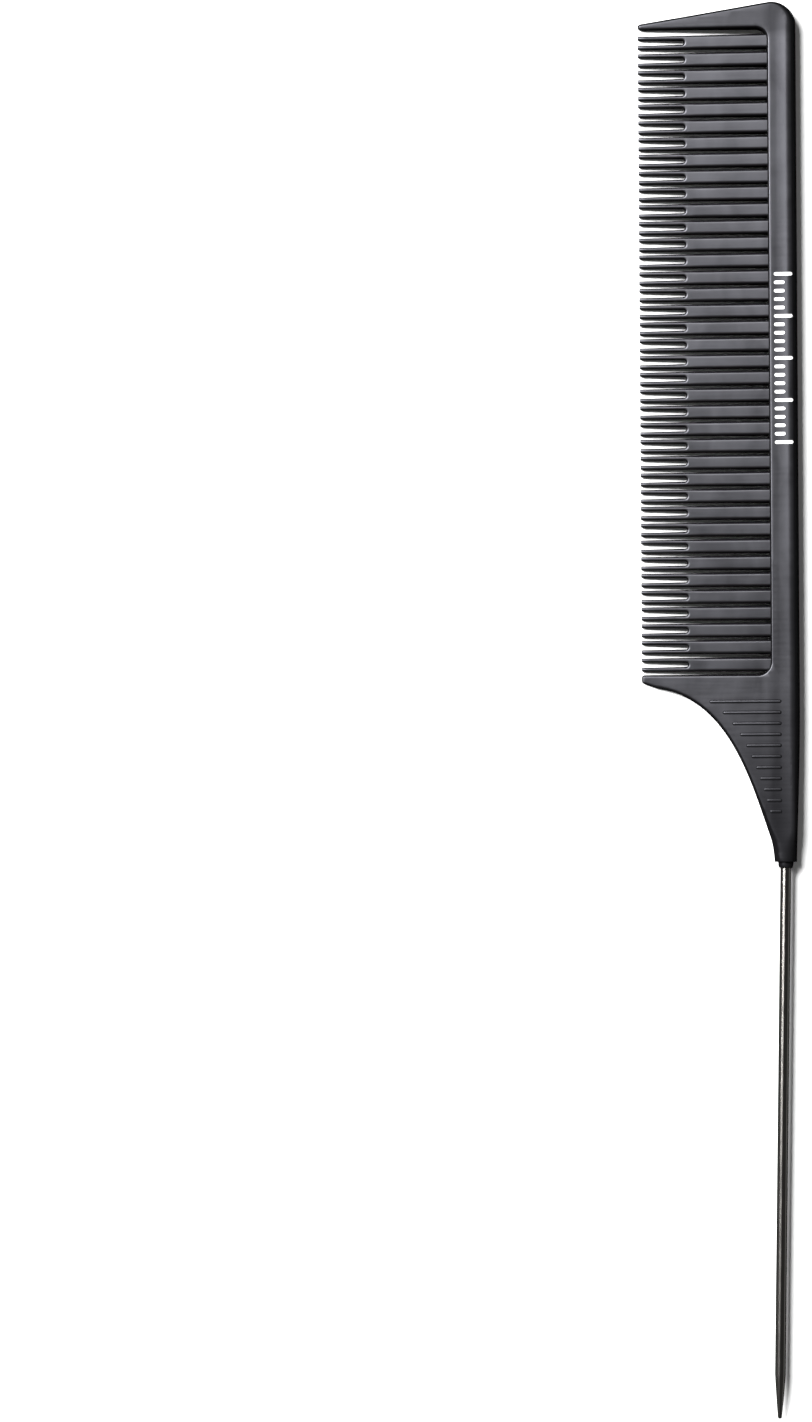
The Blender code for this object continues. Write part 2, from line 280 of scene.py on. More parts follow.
def window_points():
    top = WINDOW_TOP_RADIUS
    bottom = WINDOW_BOTTOM_RADIUS
    upper_centre = (STEP_IN + top, WINDOW_TOP + top)
    lower_centre = (STEP_IN + bottom, WINDOW_BOTTOM - bottom)
    points = arc(upper_centre, top, 90, 0, WINDOW_EDGE, CORNER_STEPS)
    return points + arc(lower_centre, bottom, 0, -90, WINDOW_EDGE, CORNER_STEPS)


def lower_tip_points():
    radius = LOWER_TIP_RADIUS
    centre_in = COMB_WIDTH - radius
    points = arc((centre_in, WINDOW_BOTTOM + radius), radius, 90, 180, TIP_EDGE, 5)
    points += arc((centre_in, HANDLE_TOP - radius), radius, 180, 255, TIP_EDGE, 5)
    return points


def outline_keys():
    """The frame's outline anticlockwise from the back of the head, before subdivision."""
    points = head_points() + window_points() + lower_tip_points()
    points += [(point, HANDLE_EDGE) for point in HANDLE_POINTS]
    points[-1] = (points[-1][0], NECK_END_EDGE)
    steps = 12
    back = []
    for step, point in enumerate(bezier(BACK_CURVE, steps)):
        back.append((point, lerp(NECK_EDGE, BACK_EDGE, smooth_step(step / steps))))
    back[0] = (back[0][0], NECK_END_EDGE)
    return points + back


def subdivided(keys, spacing):
    """The closed outline with extra points wherever two are further apart."""
    points = []
    for index, (start, edge) in enumerate(keys):
        end, end_edge = keys[(index + 1) % len(keys)]
        pieces = max(1, math.ceil((end - start).length / spacing))
        if (end - start).length < SAME_PLACE:
            continue
        for piece in range(pieces):
            fraction = piece / pieces
            points.append((start.lerp(end, fraction), lerp(edge, end_edge, fraction)))
    return points


def evened_edges(points, passes):
    """Smooths the edge widths along the outline so that they blend."""
    widths = [width for _, width in points]
    for _ in range(passes):
        count = len(widths)
        widths = [
            (widths[index - 1] + widths[index] * 2 + widths[(index + 1) % count]) / 4
            for index in range(count)
        ]
    return [(point, width) for (point, _), width in zip(points, widths)]


def inset_vectors(points):
    """For each outline point, the step that moves it inwards by one unit."""
    vectors = []
    count = len(points)
    for index in range(count):
        here = points[index][0]
        before = (here - points[index - 1][0]).normalized()
        after = (points[(index + 1) % count][0] - here).normalized()
        before_normal = Vector((-before.y, before.x))
        after_normal = Vector((-after.y, after.x))
        middle = (before_normal + after_normal).normalized()
        vectors.append(middle / max(middle.dot(before_normal), 0.5))
    return vectors


# Thickness of the frame


def section_half(inward):
    """Half thickness across the comb: crest, ramp, flat, thinner arms."""
    if inward < RAMP_START:
        return CREST_HALF
    if inward < RAMP_END:
        fraction = (RAMP_END - inward) / (RAMP_END - RAMP_START)
        return lerp(PLATEAU_HALF, CREST_HALF, fraction ** RAMP_POWER)
    outward = clamp((inward - STEP_IN) / (COMB_WIDTH - STEP_IN))
    return lerp(PLATEAU_HALF, ARM_TIP_HALF, outward)


def edge_inward(down):
    """How far in the handle's concave edge is at a level, or None above the handle."""
    for upper, lower in zip(HANDLE_POINTS, HANDLE_POINTS[1:]):
        if upper.y <= down <= lower.y:
            return lerp(upper.x, lower.x, (down - upper.y) / (lower.y - upper.y))
    return None


def back_distance(point):
    """Distance from the back; the crest follows the head corner and fades round it."""
    across = HEAD_RADIUS - point.x
    along = HEAD_RADIUS + HEAD_DROP - point.y
    if across <= 0 or along <= 0:
        return point.x
    from_edge = HEAD_RADIUS - math.hypot(across, along)
    fade = smooth_step(math.atan2(along, across) / CREST_FADE_ANGLE)
    return lerp(from_edge, max(from_edge, RAMP_END), fade)


def half_thickness(point):
    """Half thickness of the frame at a plan point; the neck is round."""
    section = section_half(back_distance(point))
    edge = edge_inward(point.y)
    if edge is None:
        return section
    radius = edge - NECK_AXIS + NECK_ALLOWANCE
    across = point.x - NECK_AXIS
    round_half = math.sqrt(max(radius * radius - across * across, LEAST_NECK_SQUARE))
    return smooth_min(section, round_half, NECK_BLEND)


# Meshes


def mesh_object(name, work):
    """A linked object from a bmesh in world metres, which it frees."""
    mesh = bpy.data.meshes.new(name)
    work.to_mesh(mesh)
    work.free()
    piece = bpy.data.objects.new(name, mesh)
    bpy.context.scene.collection.objects.link(piece)
    return piece


def applied(piece):
    """Bakes the modifiers and the transform into the mesh."""
    bpy.context.view_layer.update()
    graph = bpy.context.evaluated_depsgraph_get()
    mesh = bpy.data.meshes.new_from_object(piece.evaluated_get(graph))
    mesh.transform(piece.matrix_world)
    piece.modifiers.clear()
    piece.data = mesh
    piece.matrix_world = Matrix.Identity(4)
    return piece


def mirror(piece, axes):
    modifier = piece.modifiers.new("mirror", "MIRROR")
    modifier.use_axis = axes
    modifier.merge_threshold = 0.001 * MM
    return applied(piece)


def combine(target, tool, operation):
    modifier = target.modifiers.new("combine", "BOOLEAN")
    modifier.operation = operation
    modifier.solver = "EXACT"
    modifier.object = tool
    applied(target)
    bpy.data.objects.remove(tool)


def in_world(point, height):
    return (
        body_high[0] - point.x * MM,
        body_high[1] - point.y * MM,
        height * MM,
    )


def stitch(work, upper, lower, closed=True):
    """Quads between two rows of vertices of equal length."""
    count = len(upper)
    for index in range(count if closed else count - 1):
        after = (index + 1) % count
        work.faces.new((lower[index], lower[after], upper[after], upper[index]))


def stadium(near_in, far_in, centre_down, radius, spacing):
    """A closed loop round a straight bar with round ends."""
    ends = arc((near_in, centre_down), radius, -90, 90, 0, 6)
    ends += arc((far_in, centre_down), radius, 90, 270, 0, 6)
    return [point for point, _ in subdivided(ends, spacing)]


def rib_loops():
    """Contour loops of every rib, each as (points, height above the handle)."""
    loops = []
    for index in range(RIB_COUNT):
        fraction = index / (RIB_COUNT - 1)
        centre = FIRST_RIB + RIB_PITCH * index
        inset = lerp(RIB_FIRST_INSET, RIB_LAST_INSET, fraction)
        height = lerp(RIB_FIRST_HEIGHT, RIB_LAST_HEIGHT, fraction)
        far_in = edge_inward(centre) - inset - RIB_BASE_HALF_WIDTH
        near_in = RIB_END + RIB_BASE_HALF_WIDTH
        for width_share, height_share in RIB_STEPS:
            radius = RIB_BASE_HALF_WIDTH * width_share
            loop = stadium(near_in, far_in, centre, radius, RIB_SPACING)
            loops.append((loop, height * height_share))
    return loops


def distance_to_loop(point, loop):
    nearest = math.inf
    for index, start in enumerate(loop):
        end = loop[(index + 1) % len(loop)]
        along = end - start
        fraction = clamp((point - start).dot(along) / along.length_squared)
        nearest = min(nearest, (point - start - along * fraction).length_squared)
    return math.sqrt(nearest)


def is_inside(point, loop):
    inside = False
    for index, start in enumerate(loop):
        end = loop[index - 1]
        if (start.y > point.y) != (end.y > point.y):
            crossing = lerp(start.x, end.x, (point.y - start.y) / (end.y - start.y))
            if point.x < crossing:
                inside = not inside
    return inside


def grid_columns(down):
    """Positions across the comb, closer where the crest and the neck curve."""
    fine_count = NECK_COLUMNS if down > NECK_DETAIL else CREST_COLUMNS
    columns = [FIRST_COLUMN + FINE_COLUMN_STEP * step for step in range(fine_count)]
    start = columns[-1] + COLUMN_GAP
    coarse_count = math.ceil(COMB_WIDTH / GRID_STEP)
    return columns + [start + GRID_STEP * step for step in range(coarse_count)]


def grid_rows(outline):
    """Levels of the grid, which line up with the ring's points along the back."""
    rows = [HEAD_ROW_STEP * step for step in range(1, HEAD_ROWS + 1)]
    rows += [point.y for point in outline if abs(point.x - BACK_EDGE) < ROW_MATCH]
    last = max(rows)
    lower_count = math.ceil((BODY_LENGTH - last) / GRID_STEP)
    return rows + [last + GRID_STEP * step for step in range(1, lower_count + 1)]


def grid_points(outline, islands):
    """Inner points that carry the curved faces, clear of every loop."""
    points = []
    for down in grid_rows(outline):
        for inward in grid_columns(down):
            point = Vector((inward, down))
            in_window = inward > STEP_IN + 1 and WINDOW_TOP < down < WINDOW_BOTTOM
            if in_window or not is_inside(point, outline):
                continue
            if distance_to_loop(point, outline) < RING_CLEARANCE:
                continue
            near_island = any(
                abs(island[0].y - down) < RIB_REACH
                and (is_inside(point, island) or distance_to_loop(point, island) < RIB_CLEARANCE)
                for island in islands
            )
            if not near_island:
                points.append(point)
    return points


def edge_height(point, width, angle):
    """Height on a rounded edge, from its foot (angle 0) to the face (a quarter turn)."""
    top = half_thickness(point)
    depth = min(MOST_DEPTH * top, EDGE_DEPTH * width)
    return top - depth * (1 - math.sin(angle))


def build_frame():
    """Spine, arms and handle: the upper half as rings and a cap, then mirrored."""
    outline = evened_edges(subdivided(outline_keys(), OUTLINE_SPACING), OUTLINE_PASSES)
    vectors = inset_vectors(outline)
    work = bmesh.new()
    rows = [[work.verts.new(in_world(point, 0.0)) for point, _ in outline]]
    for angle in quarter_angles(EDGE_STEPS):
        inner = []
        for (point, width), vector in zip(outline, vectors):
            inner.append(point + vector * width * (1 - math.cos(angle)))
        rows.append([
            work.verts.new(in_world(point, edge_height(point, width, angle)))
            for point, (_, width) in zip(inner, outline)
        ])
    for lower, upper in zip(rows, rows[1:]):
        stitch(work, upper, lower)
    cap_frame(work, inner, rows[-1])
    bmesh.ops.recalc_face_normals(work, faces=work.faces)
    frame_piece = mesh_object("comb_moulding", work)
    mirror(frame_piece, (False, False, True))
    frame_piece.location.z = MIDDLE_Z
    return applied(frame_piece)


def cap_frame(work, ring, ring_verts):
    """Fills the inner ring with triangles that carry the ribs and curved faces."""
    loops = rib_loops()
    islands = [loop for loop, _ in loops[::len(RIB_STEPS)]]
    points = list(ring)
    heights = [0.0] * len(ring)
    edges = []
    for loop, height in loops:
        first = len(points)
        points += loop
        heights += [height] * len(loop)
        edges += [(first + i, first + (i + 1) % len(loop)) for i in range(len(loop))]
    inner = grid_points(ring, islands)
    points += inner
    heights += [0.0] * len(inner)
    faces = [list(range(len(ring)))]
    verts, _, triangles, sources, _, _ = delaunay_2d_cdt(points, edges, faces, 1, 1e-5)
    made = []
    for position, source in zip(verts, sources):
        if source and source[0] < len(ring):
            made.append(ring_verts[source[0]])
            continue
        rise = heights[source[0]] if source else 0.0
        made.append(work.verts.new(in_world(position, half_thickness(position) + rise)))
    for triangle in triangles:
        work.faces.new([made[corner] for corner in triangle])


# Forks


def fork_half_width(u):
    return lerp(FORK_ROOT_HALF_WIDTH, FORK_TIP_HALF_WIDTH, clamp(u / FORK_LENGTH))


def fork_top(u):
    return lerp(FORK_ROOT_HALF, FORK_TIP_HALF, clamp(u / FORK_LENGTH))


def fork_wall_share(u):
    return lerp(WALL_SHARE_ROOT, WALL_SHARE_TIP, clamp(u / FORK_LENGTH))


def slot_half_width(u):
    start = SLOT_START + SLOT_RADIUS
    fraction = clamp((u - start) / (FORK_LENGTH - start))
    return lerp(SLOT_RADIUS, SLOT_TIP_HALF_WIDTH, fraction)


def tine_half_width():
    """Half the width of a tine where it leaves the block."""
    return (fork_half_width(SLOT_START + SLOT_RADIUS) - SLOT_RADIUS) / 2


def block_edge(u):
    """Width of the rounded edge along the undivided part, narrowing to the tines."""
    fraction = (u - SLOT_START + EDGE_BLEND_LEAD) / EDGE_BLEND_LENGTH
    return lerp(FORK_EDGE, tine_half_width(), smooth_step(fraction))


def tine_stations():
    """(u, shrink) from the tip to the slot's round end."""
    stations = []
    for angle in reversed(quarter_angles(4)):
        u = FORK_LENGTH - TINE_TIP_ROUND * (1 - math.sin(angle))
        stations.append((u, TINE_TIP_ROUND * (1 - math.cos(angle))))
    slot_centre = SLOT_START + SLOT_RADIUS
    straight = 6
    for step in range(1, straight + 1):
        u = lerp(FORK_LENGTH - TINE_TIP_ROUND, slot_centre, step / straight)
        stations.append((u, 0.0))
    return stations


def quarter_fork():
    """One quarter of a fork: the half above the middle plane on one side of it.

    It is drawn with the step at u = 0 and the tip at u = FORK_LENGTH. Each station
    is a row of points from the outer wall over the rounded edge to the flat top,
    and from there down the slot's rounded edge.
    """
    work = bmesh.new()
    slot_centre = SLOT_START + SLOT_RADIUS
    tine_half = tine_half_width()
    angles = quarter_angles(EDGE_STEPS)

    def vert(u, v, height):
        return work.verts.new((-u * MM, v * MM, height * MM))

    def outer_row(u, wall_v, edge, top, share):
        row = [vert(u, wall_v, 0.0)]
        for angle in angles:
            v = wall_v - edge * (1 - math.cos(angle))
            row.append(vert(u, v, top * (share + (1 - share) * math.sin(angle))))
        return row

    def slot_row(wall_point, direction, edge, top, share, crest):
        row = [vert(*wall_point, 0.0)]
        for angle in angles[:-1]:
            point = wall_point + direction * edge * (1 - math.cos(angle))
            row.append(vert(*point, top * (share + (1 - share) * math.sin(angle))))
        row.append(crest or vert(*(wall_point + direction * edge), top))
        return row

    outer_rows = []
    slot_rows = []
    for u, shrink in tine_stations():
        wall = fork_half_width(u) - shrink
        slot = slot_half_width(u) + shrink
        edge = (wall - slot) / 2
        top = fork_top(u) - shrink
        share = fork_wall_share(u)
        outer_rows.append(outer_row(u, wall, edge, top, share))
        slot_point = Vector((u, slot))
        crest = outer_rows[-1][-1]
        slot_rows.append(slot_row(slot_point, Vector((0, 1)), edge, top, share, crest))
    work.faces.new(outer_rows[0] + slot_rows[0][-2::-1])

    tine_count = len(outer_rows)
    arc_steps = 7
    reach = SLOT_RADIUS + tine_half
    for step in range(1, arc_steps + 1):
        angle = math.pi / 2 * step / arc_steps
        direction = Vector((-math.sin(angle), math.cos(angle)))
        wall_point = Vector((slot_centre, 0.0)) + direction * SLOT_RADIUS
        if step == arc_steps:
            wall_point.y = 0.0
            direction = Vector((-1.0, 0.0))
        u = slot_centre + direction.x * reach
        top = fork_top(u)
        share = fork_wall_share(u)
        outer_rows.append(outer_row(u, fork_half_width(u), block_edge(u), top, share))
        slot_rows.append(slot_row(wall_point, direction, tine_half, top, share, None))
    flat_row = [row[-1] for row in slot_rows[tine_count - 1:]]

    block_start = slot_centre - reach
    block_steps = 9
    for step in range(1, block_steps + 1):
        u = lerp(block_start, 0.0, step / block_steps)
        outer_rows.append(
            outer_row(u, fork_half_width(u), block_edge(u), fork_top(u), fork_wall_share(u))
        )
        flat_row.append(vert(u, 0.0, fork_top(u)))
    root = -FORK_EMBED
    outer_rows.append(
        outer_row(root, FORK_ROOT_HALF_WIDTH, FORK_EDGE, FORK_ROOT_HALF, fork_wall_share(0))
    )
    flat_row.append(vert(root, 0.0, FORK_ROOT_HALF))
    root_middle = vert(root, 0.0, 0.0)

    for first, second in zip(outer_rows, outer_rows[1:]):
        stitch(work, first, second, closed=False)
    for first, second in zip(slot_rows, slot_rows[1:]):
        stitch(work, second, first, closed=False)
    tops = [row[-1] for row in outer_rows[tine_count - 1:]]
    for index in range(len(tops) - 1):
        corners = [tops[index], tops[index + 1], flat_row[index + 1]]
        if flat_row[index] is not tops[index]:
            corners.append(flat_row[index])
        work.faces.new(corners)
    work.faces.new(outer_rows[-1] + [flat_row[-1], root_middle])
    bmesh.ops.recalc_face_normals(work, faces=work.faces)
    return work


def build_forks():
    fork = mesh_object("fork", quarter_fork())
    mirror(fork, (False, True, True))
    work = bmesh.new()
    for index in range(FORK_COUNT):
        down = FIRST_FORK + FORK_PITCH * index
        if index == 0:
            down -= END_FORK_SHIFT
        if index == FORK_COUNT - 1:
            down += END_FORK_SHIFT
        place = Vector(in_world(Vector((STEP_IN, down)), 0.0))
        place.z = MIDDLE_Z
        first = len(work.verts)
        work.from_mesh(fork.data)
        work.verts.ensure_lookup_table()
        bmesh.ops.translate(work, verts=work.verts[first:], vec=place)
    bpy.data.objects.remove(fork)
    return mesh_object("forks", work)


# Collar, socket and pin


def pin_matrix():
    """Frame at the neck's end: local -Z runs down the pin."""
    place = Vector(in_world(Vector((NECK_AXIS, BODY_LENGTH)), 0.0))
    place.z = MIDDLE_Z
    lean = Matrix.Rotation(math.radians(-PIN_CANT_DEGREES), 4, "Z")
    return Matrix.Translation(place) @ lean @ Matrix.Rotation(-math.pi / 2, 4, "X")


def turned(name, profile):
    """A solid of revolution about the pin's axis from (radius, height) points."""
    work = bmesh.new()
    verts = [work.verts.new((radius * MM, 0.0, height * MM)) for radius, height in profile]
    for upper, lower in zip(verts, verts[1:]):
        work.edges.new((upper, lower))
    piece = mesh_object(name, work)
    piece.matrix_world = pin_matrix()
    screw = piece.modifiers.new("turn", "SCREW")
    screw.steps = PIN_SEGMENTS
    screw.render_steps = PIN_SEGMENTS
    screw.use_merge_vertices = True
    screw.merge_threshold = 0.0001 * MM
    return applied(piece)


def build_collar():
    bulge = []
    for angle in quarter_angles(6):
        radius = lerp(COLLAR_BASE_RADIUS, COLLAR_END_RADIUS, 1 - math.cos(angle))
        bulge.append((radius, -COLLAR_LENGTH * math.sin(angle)))
    top = [(0.0, COLLAR_EMBED), (COLLAR_BASE_RADIUS, COLLAR_EMBED)]
    return turned("collar", top + bulge + [(0.0, -COLLAR_LENGTH)])


def build_socket():
    radius = PIN_RADIUS + SOCKET_CLEARANCE
    top = PIN_ROOT + SOCKET_CLEARANCE
    mouth = -COLLAR_LENGTH - SOCKET_OVERRUN
    return turned("socket", [(0.0, top), (radius, top), (radius, mouth), (0.0, mouth)])


def build_pin():
    """The straight wire, its taper and its blunt end, from the hidden root down."""
    length = (OVERALL_LENGTH - BODY_LENGTH) / math.cos(math.radians(PIN_CANT_DEGREES))
    profile = [(0.0, PIN_ROOT), (PIN_RADIUS, PIN_ROOT)]
    first_ring = PIN_ROOT - 1.0
    rings = 40
    for step in range(rings + 1):
        profile.append((PIN_RADIUS, lerp(first_ring, PIN_TAPER - length, step / rings)))
    taper_steps = 10
    for step in range(1, taper_steps):
        fraction = step / taper_steps
        radius = lerp(PIN_RADIUS, PIN_TIP_RADIUS, fraction ** PIN_TAPER_POWER)
        profile.append((radius, lerp(PIN_TAPER, PIN_TIP_RADIUS, fraction) - length))
    for angle in quarter_angles(6)[:-1]:
        height = PIN_TIP_RADIUS * (1 - math.sin(angle)) - length
        profile.append((PIN_TIP_RADIUS * math.cos(angle), height))
    profile.append((0.0, -length))
    return turned("steel_tail_pin", profile)


def finish_shading(piece, degrees):
    """Smooth shading that keeps the flat faces flat right up to their rounded edges."""
    piece.data.shade_smooth()
    piece.data.set_sharp_from_angle(angle=math.radians(degrees))
    modifier = piece.modifiers.new("flat_faces", "WEIGHTED_NORMAL")
    modifier.mode = "FACE_AREA_WITH_ANGLE"
    modifier.keep_sharp = True
    applied(piece)


def build_body():
    body = build_frame()
    combine(body, build_forks(), "UNION")
    combine(body, build_collar(), "UNION")
    combine(body, build_socket(), "DIFFERENCE")
    finish_shading(body, BODY_SHARP_ANGLE)
    return body


# Printed scale


def add_mark(work, near_in, far_in, centre_down):
    """A thin bar of ink with round ends that follows the top of the spine."""
    half = MARK_WIDTH / 2
    length = far_in - near_in
    stations = []
    for angle in quarter_angles(4)[:-1]:
        stations.append((half * (1 - math.cos(angle)), half * math.sin(angle)))
    stations[0] = (0.0, half * MARK_END_SHARE)
    straight = 10
    for step in range(straight + 1):
        stations.append((lerp(half, length - half, step / straight), half))
    for along, width in stations[:4][::-1]:
        stations.append((length - along, width))
    corners = ((-1, -INK_EMBED), (-1, INK_THICKNESS), (1, INK_THICKNESS), (1, -INK_EMBED))
    rows = []
    for along, width in stations:
        inward = near_in + along
        angle = math.acos(max(0.0, 1 - inward / BACK_EDGE))
        surface = edge_height(Vector((inward, centre_down)), BACK_EDGE, angle)
        row = []
        for side, lift in corners:
            point = Vector((inward, centre_down + side * width))
            x, y, z = in_world(point, surface + lift)
            row.append(work.verts.new((x, y, z + MIDDLE_Z)))
        rows.append(row)
    for first, second in zip(rows, rows[1:]):
        stitch(work, first, second)
    work.faces.new(rows[0])
    work.faces.new(rows[-1])


def build_print():
    work = bmesh.new()
    for index in range(MARK_COUNT):
        reach = LONG_MARK if index % LONG_MARK_EVERY == 0 else SHORT_MARK
        add_mark(work, *reach, FIRST_MARK + MARK_PITCH * index)
    bmesh.ops.recalc_face_normals(work, faces=work.faces)
    marks = mesh_object("spine_scale_print", work)
    finish_shading(marks, INK_SHARP_ANGLE)
    return marks


# Materials

BLACK_WARM = (0.003, 0.003, 0.0034)
BLACK_COOL = (0.005, 0.0049, 0.0055)
COOL_GLOSS = (0.9, 0.9, 1.0, 1.0)
STEEL_DARK = (0.72, 0.69, 0.65)
STEEL_LIGHT = (0.82, 0.79, 0.75)
INK_DARK = (0.78, 0.78, 0.78)
INK_LIGHT = (0.9, 0.9, 0.9)
PAPER_DARK = (0.86, 0.86, 0.86)
PAPER_LIGHT = (0.9, 0.9, 0.9)
# painted dark reflection: the paper is near black wherever it is seen in a reflection
PAPER_PAINTED_DARK_REFLECTION = (0.015, 0.015, 0.015)

# Depths of the fine relief, in metres
GRAIN_DEPTH = 0.000004
STREAK_DEPTH = 0.000006
DRAW_LINE_DEPTH = 0.0000008
DRAW_RING_DEPTH = 0.000003
INK_DEPTH = 0.000005

# Gloss of the plastic by how level it is (painted shade on steep edges, painted highlight on
# slopes), and its share where shade is painted along the comb or sheen on the grip
EDGE_PAINTED_SHADE_GLOSS = 0.04
SLOPE_PAINTED_HIGHLIGHT_GLOSS = 0.74
FLAT_SHARE = 0.67
NECK_PAINTED_SHADE = 0.36
HANDLE_PAINTED_SHADE = 0.8
HEAD_PAINTED_SHADE = 0.62
PAINTED_SHEEN_GAIN = 1.25

# Roughness of the pin at its tip and at the neck
TIP_ROUGHNESS = 0.1
NECK_ROUGHNESS = 0.158


class Shader:
    """A short way to add and join the nodes of one material."""

    def __init__(self, name):
        self.material = bpy.data.materials.new(name)
        self.material.use_nodes = True
        self.nodes = self.material.node_tree.nodes
        self.links = self.material.node_tree.links
        self.surface = self.nodes["Principled BSDF"]
        self.place = self.add("ShaderNodeTexCoord").outputs["Object"]

    def add(self, kind, **settings):
        node = self.nodes.new(kind)
        for key, value in settings.items():
            setattr(node, key, value)
        return node

    def put(self, value, socket):
        """Sets an input to a number or colour, or joins it to an output."""
        if isinstance(value, bpy.types.NodeSocket):
            self.links.new(value, socket)
        else:
            socket.default_value = value

    def noise(self, scale, detail=2.0, stretch=(1, 1, 1), distortion=0.0):
        """Noise of so many bumps a metre, stretched along the comb's axes."""
        mapping = self.add("ShaderNodeMapping")
        mapping.inputs["Scale"].default_value = stretch
        self.put(self.place, mapping.inputs["Vector"])
        node = self.add("ShaderNodeTexNoise")
        self.put(mapping.outputs["Vector"], node.inputs["Vector"])
        node.inputs["Scale"].default_value = scale
        node.inputs["Detail"].default_value = detail
        node.inputs["Distortion"].default_value = distortion
        return node.outputs["Fac"]

    def part(self, vector, axis):
        node = self.add("ShaderNodeSeparateXYZ")
        self.put(vector, node.inputs["Vector"])
        return node.outputs[axis]

    def remap(self, value, low, high, new_low, new_high):
        """Maps low..high evenly onto new_low..new_high, and holds the ends beyond them."""
        node = self.add("ShaderNodeMapRange")
        for key, number in zip(
            ("From Min", "From Max", "To Min", "To Max"), (low, high, new_low, new_high)
        ):
            node.inputs[key].default_value = number
        self.put(value, node.inputs["Value"])
        return node.outputs["Result"]

    def vary(self, noise, low, high):
        """A value that follows a noise's usual range."""
        return self.remap(noise, 0.3, 0.7, low, high)

    def near(self, point, reach, value):
        """A value close to a point that runs evenly to 1 at the reach, in metres."""
        distance = self.add("ShaderNodeVectorMath", operation="DISTANCE")
        self.put(self.place, distance.inputs[0])
        self.put(point, distance.inputs[1])
        return self.remap(distance.outputs["Value"], reach * 0.25, reach, value, 1.0)

    def math(self, operation, first, second):
        node = self.add("ShaderNodeMath", operation=operation)
        self.put(first, node.inputs[0])
        self.put(second, node.inputs[1])
        return node.outputs[0]

    def mix(self, factor, first, second):
        node = self.add("ShaderNodeMix", data_type="RGBA")
        self.put(factor, node.inputs["Factor"])
        self.put((*first, 1.0) if isinstance(first, tuple) else first, node.inputs[6])
        self.put((*second, 1.0) if isinstance(second, tuple) else second, node.inputs[7])
        return node.outputs[2]

    def bump(self, height, distance, normal=None):
        node = self.add("ShaderNodeBump")
        node.inputs["Distance"].default_value = distance
        self.put(height, node.inputs["Height"])
        if normal is not None:
            self.put(normal, node.inputs["Normal"])
        return node.outputs["Normal"]

    def finish(self, **inputs):
        for name, value in inputs.items():
            self.put(value, self.surface.inputs[name.replace("_", " ")])
        return self.material


def painted_edge_shade_and_slope_highlight(shader):
    """Gloss by how level the surface is: painted shade on steep edges, and a painted highlight that
    makes slopes glossier than flats.
    """
    flatness = shader.part(shader.add("ShaderNodeNewGeometry").outputs["Normal"], "Z")
    flatness = shader.math("ABSOLUTE", flatness, 0.0)
    gloss = shader.remap(flatness, 0.8, 0.92, EDGE_PAINTED_SHADE_GLOSS, SLOPE_PAINTED_HIGHLIGHT_GLOSS)
    level = shader.remap(flatness, 0.965, 0.998, 1.0, FLAT_SHARE)
    return shader.math("MULTIPLY", gloss, level)


def painted_shade_shares(shader):
    """Painted shade along the comb: the reflection is dimmed at the neck, over the handle and at the
    head end.
    """
    along = shader.part(shader.place, "Y")
    high = body_high[1]
    low = high - BODY_LENGTH * MM
    return (
        shader.remap(along, low + 8 * MM, low + 30 * MM, NECK_PAINTED_SHADE, 1.0),
        shader.remap(along, low + 34 * MM, low + 80 * MM, HANDLE_PAINTED_SHADE, 1.0),
        shader.remap(along, high - 6.2 * MM, high - 4.6 * MM, 1.0, HEAD_PAINTED_SHADE),
    )


def carbon_plastic():
    """Black carbon-filled plastic: satin and finely grained, with painted shade and painted
    highlights in its gloss and a painted sheen on the grip.
    """
    shader = Shader("carbon_plastic_satin")
    clouds = shader.noise(90, detail=3.0)
    smudges = shader.noise(220, detail=4.0, stretch=(1, 0.5, 1), distortion=0.6)
    streaks = shader.noise(900, stretch=(0.12, 2.2, 1))
    grain = shader.noise(9000)
    colour = shader.mix(clouds, BLACK_WARM, BLACK_COOL)
    rough = shader.vary(smudges, 0.37, 0.45)
    rough = shader.math("ADD", rough, shader.vary(streaks, -0.03, 0.03))
    normal = shader.bump(grain, GRAIN_DEPTH)
    normal = shader.bump(streaks, STREAK_DEPTH, normal)
    patches = shader.vary(smudges, 0.86, 1.14)
    # painted sheen: the reflection is made stronger round a spot on the grip
    sheen_spot_place = in_world(Vector(PAINTED_SHEEN_SPOT), CREST_HALF)
    painted_sheen = shader.near(sheen_spot_place, PAINTED_SHEEN_REACH * MM, PAINTED_SHEEN_GAIN)
    # painted shade on steep edges and along the comb, painted highlight on slopes
    gloss = painted_edge_shade_and_slope_highlight(shader)
    for share in (*painted_shade_shares(shader), patches, painted_sheen):
        gloss = shader.math("MULTIPLY", gloss, share)
    return shader.finish(
        Base_Color=colour,
        Roughness=rough,
        Normal=normal,
        Specular_IOR_Level=gloss,
        Specular_Tint=COOL_GLOSS,
    )


